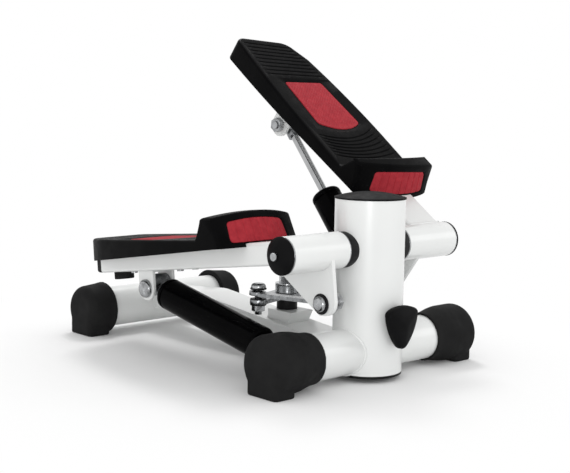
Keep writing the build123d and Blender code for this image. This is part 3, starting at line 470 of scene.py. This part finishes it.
def groove_profile(depth_share):
    """Section of a tread groove: a narrow slot with eased lips. A share below 1 lifts it."""
    lift = GROOVE_DEPTH * (1 - depth_share)
    half = [(a, b + lift) for a, b in GROOVE_SECTION]
    return half + [(-a, b) for a, b in reversed(half)]


def add_groove(bm, s_inner, s_outer, u_start, bow=0.0):
    """Adds one groove cutter across the tread. bow is how far its middle lies towards the toe."""
    u_end = outer_edge(s_outer) - GROOVE_OUTER_GAP
    up = Vector((0, 0, 1))
    path = []
    for k in range(GROOVE_STEPS + 1):
        share = k / GROOVE_STEPS
        s = between(s_inner, s_outer, share) - bow * hump(share)
        path.append((Vector((between(u_start, u_end, share), s, TREAD_H)), up))

    def section(k):
        run = min(k, GROOVE_STEPS - k) / GROOVE_RUN_OUT
        return groove_profile(min(1.0, run))

    tube_along(bm, path, section)


def tread_cutter():
    """Everything that is cut into the tread: heel grooves, toe grooves and the sloped pad frame."""
    bm = bmesh.new()
    for k in range(HEEL_GROOVES):
        share = k / (HEEL_GROOVES - 1)
        s_inner, s_outer = (between(a, b, share) for a, b in zip(HEEL_FIRST, HEEL_LAST))
        gap = between(GROOVE_INNER_GAP, HEEL_LAST_GAP, share)
        add_groove(bm, s_inner, s_outer, INNER_U + gap)
    for k in range(TOE_GROOVES):
        share = k / (TOE_GROOVES - 1)
        s_inner, s_outer = (between(a, b, share) for a, b in zip(TOE_FIRST, TOE_LAST))
        add_groove(bm, s_inner, s_outer, INNER_U + GROOVE_INNER_GAP, between(*TOE_BOWS, share))
    loft(
        bm,
        [
            quad_loop(PAD_FRAME, PAD_FRAME_BOW, TREAD_H + CUTTER_RISE, grow=CUTTER_REACH),
            quad_loop(PAD_FRAME, PAD_FRAME_BOW, TREAD_H),
            quad_loop(POCKET, POCKET_BOW, TREAD_H - PAD_FRAME_DEPTH, grow=PAD_FRAME_OVERLAP),
        ],
    )
    return from_bmesh("tread_cutter", bm)


def pedal_edge_width(edge):
    """Bevel width for one edge of the CAD pedal in the lever frame; 0 leaves it sharp."""
    angle = edge.calc_face_angle_signed(0.0)
    if abs(angle) < math.radians(SOFT_ANGLE):
        return 0.0
    a, b = (v.co for v in edge.verts)
    mid = (a + b) / 2
    on_tread = max(abs(a.z - TREAD_H), abs(b.z - TREAD_H)) < ON_TREAD
    inner, outer = inner_edge(mid.y) + EDGE_BAND, outer_edge(mid.y) - EDGE_BAND
    outside = mid.x < inner or mid.x > outer or mid.y > HEEL_START
    on_crown = mid.y < CROWN_END and mid.z > TREAD_H
    if angle < 0:
        return GUARD_FILLET if on_tread and mid.y < GUARD_END else 0.0
    if not outside or (on_crown and not on_tread):
        return 0.0
    if on_tread or abs(a.z - b.z) > UPRIGHT_H:
        return EDGE_ROUND
    return SKIRT_ROUND


def pedal(side):
    """Pedal moulding: the CAD's shell with rounded edges, tread grooves and a sloped pad frame."""
    bm = bmesh.new()
    bm.from_mesh(nodes[f"{side}_pedal"].data)
    bm.transform(lever_matrix(side).inverted())
    bmesh.ops.remove_doubles(bm, verts=bm.verts, dist=MERGE_GAP)
    bmesh.ops.recalc_face_normals(bm, faces=bm.faces)
    flat = math.radians(FLAT_ANGLE)
    bmesh.ops.dissolve_limit(bm, angle_limit=flat, verts=bm.verts, edges=bm.edges)
    weights = bm.edges.layers.float.new("bevel_weight_edge")
    for edge in bm.edges:
        if len(edge.link_faces) == 2:
            edge[weights] = pedal_edge_width(edge) / BEVEL_UNIT
    rounding = {
        "width": BEVEL_UNIT,
        "segments": BEVEL_STEPS,
        "limit_method": "WEIGHT",
        "use_clamp_overlap": False,
        "miter_outer": "MITER_SHARP",
    }
    shell = cut(applied(to_mesh("shell", bm), ("BEVEL", rounding)), tread_cutter())
    bm = bmesh.new()
    bm.from_mesh(shell)
    bmesh.ops.triangulate(bm, faces=[f for f in bm.faces if len(f.verts) > 4])
    mesh = from_lever(f"{side}_pedal_moulding", bm, side, PEDAL_SHARP)
    made = add_object(f"{side}_pedal_moulding", mesh, "pedal_plastic", f"{side}_lever")
    flatten = made.modifiers.new("flatten", "WEIGHTED_NORMAL")
    flatten.weight = FLAT_WEIGHT
    flatten.keep_sharp = True
    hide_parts(f"{side}_pedal")


def circle_through(a, b, c):
    """(centre, radius) of the circle through three plane points."""
    (ax, ay), (bx, by), (cx, cy) = a, b, c
    d = 2 * (ax * (by - cy) + bx * (cy - ay) + cx * (ay - by))
    a2, b2, c2 = ax * ax + ay * ay, bx * bx + by * by, cx * cx + cy * cy
    x = (a2 * (by - cy) + b2 * (cy - ay) + c2 * (ay - by)) / d
    y = (a2 * (cx - bx) + b2 * (ax - cx) + c2 * (bx - ax)) / d
    return Vector((x, y)), math.hypot(ax - x, ay - y)


GUARD_CENTRE, GUARD_RADIUS = circle_through(*GUARD_FRONT)


def guard_face(u, h):
    """s of the guard's front face."""
    arc = GUARD_CENTRE.y - math.sqrt(GUARD_RADIUS**2 - (u - GUARD_CENTRE.x) ** 2)
    return arc + GUARD_LEAN * (h - GUARD_LOW)


def cushion(bm, columns, rows, top, base):
    """Adds a closed pad: a grid on its top and one back face. top and base map (t, r) to points."""
    grid = []
    for i in range(columns + 1):
        grid.append([bm.verts.new(top(i / columns, j / rows)) for j in range(rows + 1)])
    for i in range(columns):
        for j in range(rows):
            bm.faces.new((grid[i][j], grid[i + 1][j], grid[i + 1][j + 1], grid[i][j + 1]))
    border = [(i, 0) for i in range(columns)] + [(columns, j) for j in range(rows)]
    border += [(i, rows) for i in range(columns, 0, -1)] + [(0, j) for j in range(rows, 0, -1)]
    lower = [bm.verts.new(base(i / columns, j / rows)) for i, j in border]
    for k, (i, j) in enumerate(border):
        after = (k + 1) % len(border)
        i2, j2 = border[after]
        bm.faces.new((grid[i][j], grid[i2][j2], lower[after], lower[k]))
    bm.faces.new(lower)


def rounded(t, r, size, radius):
    """(t, r), both 0 to 1, moved so that a pad of this size gets corners of this radius."""
    width, height = size
    x, y = t * width, r * height
    centre_x = min(max(x, radius), width - radius)
    centre_y = min(max(y, radius), height - radius)
    a, b = x - centre_x, y - centre_y
    if a == 0 or b == 0:
        return t, r
    share = max(abs(a), abs(b)) / math.hypot(a, b)
    return (centre_x + a * share) / width, (centre_y + b * share) / height


def eased(t, r, size, round_mm):
    """How far a pad's rim falls at (t, r), for a rim rounded over round_mm."""
    width, height = size
    edge = min(t * width, (1 - t) * width, r * height, (1 - r) * height)
    share = max(0.0, 1 - edge / round_mm)
    return round_mm * (1 - math.sqrt(max(0.0, 1 - share * share)))


# Tread pad: its fit in the pocket, its rim and its studs
TREAD_PAD_SIZE = (72, 82)
TREAD_PAD_GRID = (110, 130)
TREAD_PAD_GAP = 0.9
TREAD_PAD_CORNER = 3.5
TREAD_PAD_RIM = 0.7
TREAD_PAD_SINK = 1.0
TREAD_PAD_CROWN = 0.9
STUD_H = 0.28
STUD_PITCH = 2.2
STUD_MARGIN = 0.04
PAD_SHARP = 40.0


def tread_pad(side):
    """Studded pad on the tread: slightly crowned, a little lower than the tread round it."""
    toe_in, heel_in, heel_out, toe_out = POCKET

    def spot(t, r):
        t, r = rounded(t, r, TREAD_PAD_SIZE, TREAD_PAD_CORNER)
        toe_u = between(toe_in[0] + TREAD_PAD_GAP, toe_out[0] - TREAD_PAD_GAP, t)
        heel_u = between(heel_in[0] + TREAD_PAD_GAP, heel_out[0] - TREAD_PAD_GAP, t)
        toe_s = toe_in[1] + TREAD_PAD_GAP - POCKET_BOW * hump(t)
        heel_s = heel_in[1] - TREAD_PAD_GAP
        return between(toe_u, heel_u, r), between(toe_s, heel_s, r)

    def top(t, r):
        u, s = spot(t, r)
        height = TREAD_H - TREAD_PAD_SINK + TREAD_PAD_CROWN * hump(t) * hump(r)
        if min(t, 1 - t, r, 1 - r) > STUD_MARGIN:
            height += STUD_H * math.sin(u * math.pi / STUD_PITCH) * math.sin(s * math.pi / STUD_PITCH)
        return (u, s, height - eased(t, r, TREAD_PAD_SIZE, TREAD_PAD_RIM))

    def base(t, r):
        u, s = spot(t, r)
        return (u, s, TREAD_H - PAD_DEPTH)

    bm = bmesh.new()
    cushion(bm, *TREAD_PAD_GRID, top, base)
    mesh = from_lever(f"{side}_tread_pad_studded", bm, side, PAD_SHARP)
    made = add_object(f"{side}_tread_pad_studded", mesh, "red_pad", f"{side}_lever")
    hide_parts(f"{side}_tread_pad")


# Guard pad: its fit in the recess, its rim and its grooves
GUARD_PAD_SIZE = (84, 23)
GUARD_PAD_GRID = (168, 40)
GUARD_PAD_GAP = 0.4
GUARD_PAD_CORNER = 4.5
GUARD_PAD_RIM = 0.9
GUARD_PAD_SINK = 0.1
GUARD_GROOVES = 7
GUARD_GROOVE_HALF = 1.3
GUARD_GROOVE_DEPTH = 0.8
GUARD_GROOVE_MARGIN = 0.06


def guard_pad(side):
    """Pad on the guard's front face, with shallow upright grooves."""
    (low_in, low_out), (top_in, top_out) = GUARD_PAD

    def spot(t, r):
        t, r = rounded(t, r, GUARD_PAD_SIZE, GUARD_PAD_CORNER)
        u_low = between(low_in + GUARD_PAD_GAP, low_out - GUARD_PAD_GAP, t)
        u_top = between(top_in + GUARD_PAD_GAP, top_out - GUARD_PAD_GAP, t)
        top_h = GUARD_PAD_TOP + GUARD_PAD_BOW * hump(t) - GUARD_PAD_GAP
        return between(u_low, u_top, r), between(GUARD_PAD_LOW + GUARD_PAD_GAP, top_h, r)

    def top(t, r):
        u, h = spot(t, r)
        depth = GUARD_PAD_SINK + eased(t, r, GUARD_PAD_SIZE, GUARD_PAD_RIM)
        if GUARD_GROOVE_MARGIN <= t <= 1 - GUARD_GROOVE_MARGIN:
            ribs = GUARD_GROOVES + 1
            from_groove = abs((t * ribs + 0.5) % 1 - 0.5) / ribs * GUARD_PAD_SIZE[0]
            depth += GUARD_GROOVE_DEPTH * max(0.0, 1 - from_groove / GUARD_GROOVE_HALF)
        return (u, guard_face(u, h) + depth, h)

    def base(t, r):
        u, h = spot(t, r)
        return (u, guard_face(u, h) + GUARD_PAD_T, h)

    bm = bmesh.new()
    cushion(bm, *GUARD_PAD_GRID, top, base)
    mesh = from_lever(f"{side}_guard_pad_grooved", bm, side, PAD_SHARP)
    made = add_object(f"{side}_guard_pad_grooved", mesh, "red_pad", f"{side}_lever")
    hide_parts(f"{side}_guard_pad")


for lever_side in SIDES:
    pedal(lever_side)
    tread_pad(lever_side)
    guard_pad(lever_side)


# ---------------------------------------------------------------- feet, knob and weld beads


FOOT_VOXEL = 1.1
FOOT_SMOOTHINGS = 4
FOOT_SMOOTHING = 0.5
ROUND_SHARP = 60.0


def foot(node):
    """Rubber foot: the CAD's shape with its steps and edges softened, as moulded rubber is."""
    bm = bmesh.new()
    bm.from_mesh(nodes[node].data)
    bmesh.ops.remove_doubles(bm, verts=bm.verts, dist=MERGE_GAP * MM)
    soft = applied(
        to_mesh("solid", bm),
        ("REMESH", {"mode": "VOXEL", "voxel_size": FOOT_VOXEL * MM}),
        ("SMOOTH", {"factor": FOOT_SMOOTHING, "iterations": FOOT_SMOOTHINGS}),
    )
    smooth(soft, ROUND_SHARP)
    made = add_object(f"{node}_rubber", soft, "black_rubber", "frame")
    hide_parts(node)


for foot_node in ("front_left_foot", "front_right_foot", "rear_left_foot", "rear_right_foot"):
    foot(foot_node)

# Weld beads: their section and ripples, and the steps round a tube and round an arm
BEAD_R = 1.7
BEAD_FLATNESS = 0.8
BEAD_SIDES = 8
BEAD_SHARP = 80.0
RIPPLE = 0.10
RIPPLE_TURN = 2.6
SADDLE_STEPS = 96
SADDLE_LEAN = 0.3
SLEEVE_STEPS_WIDE = 16
SLEEVE_STEPS_TALL = 8


def bead(name, path, body):
    """Closed weld bead along (point, outward direction) places, in metres, with faint ripples."""
    bm = bmesh.new()

    def section(k):
        size = BEAD_R * MM * (1 + RIPPLE * math.sin(k * RIPPLE_TURN))
        turn = [2 * math.pi * j / BEAD_SIDES for j in range(BEAD_SIDES)]
        return [(size * math.cos(a), size * BEAD_FLATNESS * math.sin(a)) for a in turn]

    tube_along(bm, path, section, closed=True)
    mesh = from_bmesh(name, bm, BEAD_SHARP)
    add_object(name, mesh, "white_enamel", body)


def saddle_bead(side):
    """Bead where a front cross tube meets the post."""
    path = []
    for k in range(SADDLE_STEPS):
        a = 2 * math.pi * k / SADDLE_STEPS
        y, z = TUBE_R * math.cos(a), TUBE_R * math.sin(a)
        x = math.sqrt(POST_R**2 - y**2)
        point = Vector((SIDES[side] * x, POST_Y + y, TUBE_Z + z)) * MM
        path.append((point, Vector((SIDES[side] * SADDLE_LEAN, math.cos(a), math.sin(a)))))
    bead(f"{side}_post_weld", path, "frame")


def sleeve_bead(side):
    """Bead where a lever's arm meets its sleeve."""
    inner, outer = ARM_U - ARM_W / 2, ARM_U + ARM_W / 2
    runs = (
        ((inner, ARM_TOP), (outer, ARM_TOP), SLEEVE_STEPS_WIDE, (0, 0, 1)),
        ((outer, ARM_TOP), (outer, ARM_BOTTOM), SLEEVE_STEPS_TALL, (1, 0, 0)),
        ((outer, ARM_BOTTOM), (inner, ARM_BOTTOM), SLEEVE_STEPS_WIDE, (0, 0, -1)),
        ((inner, ARM_BOTTOM), (inner, ARM_TOP), SLEEVE_STEPS_TALL, (-1, 0, 0)),
    )
    place = lever_matrix(side)
    path = []
    for start, end, steps, out in runs:
        for k in range(steps):
            u, h = (between(a, b, k / steps) for a, b in zip(start, end))
            point = place @ Vector((u, math.sqrt(SLEEVE_R**2 - h**2), h))
            path.append((point, (place.to_3x3() @ Vector(out)).normalized()))
    bead(f"{side}_sleeve_weld", path, f"{side}_lever")


for lever_side in SIDES:
    saddle_bead(lever_side)
    sleeve_bead(lever_side)

# Knob: arcs of its outline, each through three (x, z) points, and (depth, share) of its sections
KNOB_Z = 64.0
KNOB_STANDOFF = 6.0
KNOB_STEP = 1.2
KNOB_SMOOTHINGS = 14
KNOB_INSET = 0.998
KNOB_ARCS = (
    ((-23.2, 14.6), (0, 20.2), (23.2, 14.6)),
    ((23.2, 14.6), (17.3, -6), (4, -24.5)),
    ((4, -24.5), (0, -26), (-4, -24.5)),
    ((-4, -24.5), (-17.3, -6), (-23.2, 14.6)),
)
KNOB_SECTIONS = (
    (0.0, 0.93),
    (0.8, 0.98),
    (2.4, 1.0),
    (7.0, 0.99),
    (8.4, 0.96),
    (9.6, 0.89),
    (10.6, 0.74),
    (11.8, 0.52),
    (12.8, 0.30),
    (13.4, 0.12),
)


def knob_outline():
    """Rounded three-cornered outline of the knob, one corner down."""
    points = []
    for a, b, c in KNOB_ARCS:
        centre, radius = circle_through(a, b, c)
        start = math.atan2(a[1] - centre.y, a[0] - centre.x)
        end = math.atan2(c[1] - centre.y, c[0] - centre.x)
        turn = (end - start + math.pi) % (2 * math.pi) - math.pi
        steps = max(3, round(abs(turn) * radius / KNOB_STEP))
        for k in range(steps):
            angle = start + turn * k / steps
            points.append((centre.x + radius * math.cos(angle), centre.y + radius * math.sin(angle)))
    for _ in range(KNOB_SMOOTHINGS):
        around = zip(points[-1:] + points[:-1], points, points[1:] + points[:1])
        points = [((a[0] + 2 * b[0] + c[0]) / 4, (a[1] + 2 * b[1] + c[1]) / 4) for a, b, c in around]
    low, high = (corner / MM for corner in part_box("adjusting_knob"))
    across = [x for x, z in points]
    upright = [z for x, z in points]
    bottom = min(upright)
    wide = KNOB_INSET * (high.x - low.x) / (max(across) - min(across))
    tall = KNOB_INSET * (high.z - low.z) / (max(upright) - bottom)
    return [(x * wide, low.z - KNOB_Z + (z - bottom) * tall) for x, z in points]


def knob():
    """Adjusting knob: a smooth three-cornered grip with a domed face."""
    back = POST_Y - POST_R - KNOB_STANDOFF
    outline = knob_outline()
    bm = bmesh.new()
    loft(
        bm,
        [
            [Vector((x * share, back - depth, KNOB_Z + z * share)) * MM for x, z in outline]
            for depth, share in KNOB_SECTIONS
        ],
    )
    mesh = from_bmesh("adjusting_knob_grip", bm, ROUND_SHARP)
    made = add_object("adjusting_knob_grip", mesh, "gloss_black_plastic", "knob")
    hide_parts("adjusting_knob")


knob()


# ---------------------------------------------------------------- CAD nodes that stay


TUBES = ("front_post", "front_cross_tube", "rear_cross_tube", "center_tube")
SIDE_TUBES = ("arm", "sleeve", "bellcrank", "damper_barrel", "damper_rod")
EASED_EDGE = 0.5
EASED_STEPS = 2
EASED_ANGLE = 32.0


def dress(node):
    """Gives a CAD node its finished material. All but the tubes and plates also get eased edges."""
    made = nodes[node]
    slot = made.data.materials[0].name.split(".")[0]
    made.data.materials[0] = MATERIALS[slot]
    if node in TUBES or node.partition("_")[2] in SIDE_TUBES:
        return
    weld = made.modifiers.new("weld", "WELD")
    weld.merge_threshold = MERGE_GAP * MM
    bevel = made.modifiers.new("bevel", "BEVEL")
    bevel.width = EASED_EDGE * MM
    bevel.segments = EASED_STEPS
    bevel.limit_method = "ANGLE"
    bevel.angle_limit = math.radians(EASED_ANGLE)
    bevel.harden_normals = True


for node_name, node_object in nodes.items():
    if not node_object.hide_render:
        dress(node_name)


# ---------------------------------------------------------------- floor, light and camera


# The floor is lit out to FLOOR_LIT metres from the middle and plain white beyond FLOOR_WHITE
FLOOR_HALF = 6.0
FLOOR_GREY = 0.80
FLOOR_LIT = 0.18
FLOOR_WHITE = 0.48
LAMPS = (
    # name, place, point it faces, size, watts
    ("top_box", (0.7, 0.9, 1.7), (0, 0, 0.1), 0.5, 13),
    ("front_box", (-1.4, -1.4, 0.28), (0, 0, 0.12), 0.5, 8),
    ("right_box", (1.8, -1.4, 0.9), (0, 0, 0.15), 0.9, 4),
)


def floor_paint():
    """White floor that takes shadows near the machine and fades into the white surround."""
    grey = rgb(FLOOR_GREY, FLOOR_GREY, FLOOR_GREY)
    made = shader("floor", Base_Color=grey, Roughness=1.0, Specular_IOR_Level=0.0)
    tree = made.node_tree
    place = tree.nodes.new("ShaderNodeTexCoord")
    length = tree.nodes.new("ShaderNodeVectorMath")
    length.operation = "LENGTH"
    spread = tree.nodes.new("ShaderNodeMapRange")
    spread.interpolation_type = "SMOOTHSTEP"
    spread.inputs["From Min"].default_value = FLOOR_LIT
    spread.inputs["From Max"].default_value = FLOOR_WHITE
    glow = tree.nodes.new("ShaderNodeEmission")
    blend = tree.nodes.new("ShaderNodeMixShader")
    output = tree.nodes["Material Output"]
    tree.links.new(place.outputs["Object"], length.inputs[0])
    tree.links.new(length.outputs["Value"], spread.inputs["Value"])
    tree.links.new(spread.outputs["Result"], blend.inputs["Fac"])
    tree.links.new(tree.nodes["Principled BSDF"].outputs["BSDF"], blend.inputs[1])
    tree.links.new(glow.outputs["Emission"], blend.inputs[2])
    tree.links.new(blend.outputs["Shader"], output.inputs["Surface"])
    return made


def studio():
    """White floor, a white surround and soft boxes above and to the sides."""
    bm = bmesh.new()
    bmesh.ops.create_grid(bm, x_segments=1, y_segments=1, size=FLOOR_HALF)
    floor = bpy.data.objects.new("floor", from_bmesh("floor", bm))
    bpy.context.scene.collection.objects.link(floor)
    floor.data.materials.append(floor_paint())
    world = bpy.data.worlds.new("surround")
    world.use_nodes = True
    world.node_tree.nodes["Background"].inputs["Color"].default_value = rgb(1, 1, 1)
    world.node_tree.nodes["Background"].inputs["Strength"].default_value = 1.0
    bpy.context.scene.world = world
    for name, spot, aim, size, power in LAMPS:
        lamp = bpy.data.lights.new(name, "AREA")
        lamp.size = size
        lamp.energy = power
        made = bpy.data.objects.new(name, lamp)
        made.location = spot
        made.rotation_euler = (Vector(aim) - Vector(spot)).to_track_quat("-Z", "Y").to_euler()
        bpy.context.scene.collection.objects.link(made)
    bpy.context.scene.view_settings.view_transform = "Standard"


# Camera: place in millimetres, angles in degrees
CAMERA_X = -897.9
CAMERA_BEFORE_POST = 828.0
CAMERA_Z = 294.2
CAMERA_YAW = -43.05
CAMERA_PITCH = 6.70
CAMERA_ROLL = 0.92
LENS = 72.06
SENSOR = 36


def camera():
    """Low three-quarter view from the toe end's left."""
    yaw, pitch, roll = (math.radians(a) for a in (CAMERA_YAW, CAMERA_PITCH, CAMERA_ROLL))
    ahead = Vector(
        (-math.sin(yaw) * math.cos(pitch), math.cos(yaw) * math.cos(pitch), -math.sin(pitch))
    )
    level = Vector((math.cos(yaw), math.sin(yaw), 0))
    above = level.cross(ahead)
    right = level * math.cos(roll) + above * math.sin(roll)
    up = above * math.cos(roll) - level * math.sin(roll)
    lens = bpy.data.cameras.new("camera")
    lens.lens = LENS
    lens.sensor_width = SENSOR
    made = bpy.data.objects.new("camera", lens)
    turn = Matrix((right, up, -ahead)).transposed().to_4x4()
    spot = Vector((CAMERA_X, POST_Y - CAMERA_BEFORE_POST, CAMERA_Z)) * MM
    made.matrix_world = Matrix.Translation(spot) @ turn
    bpy.context.scene.collection.objects.link(made)
    bpy.context.scene.camera = made


studio()
camera()
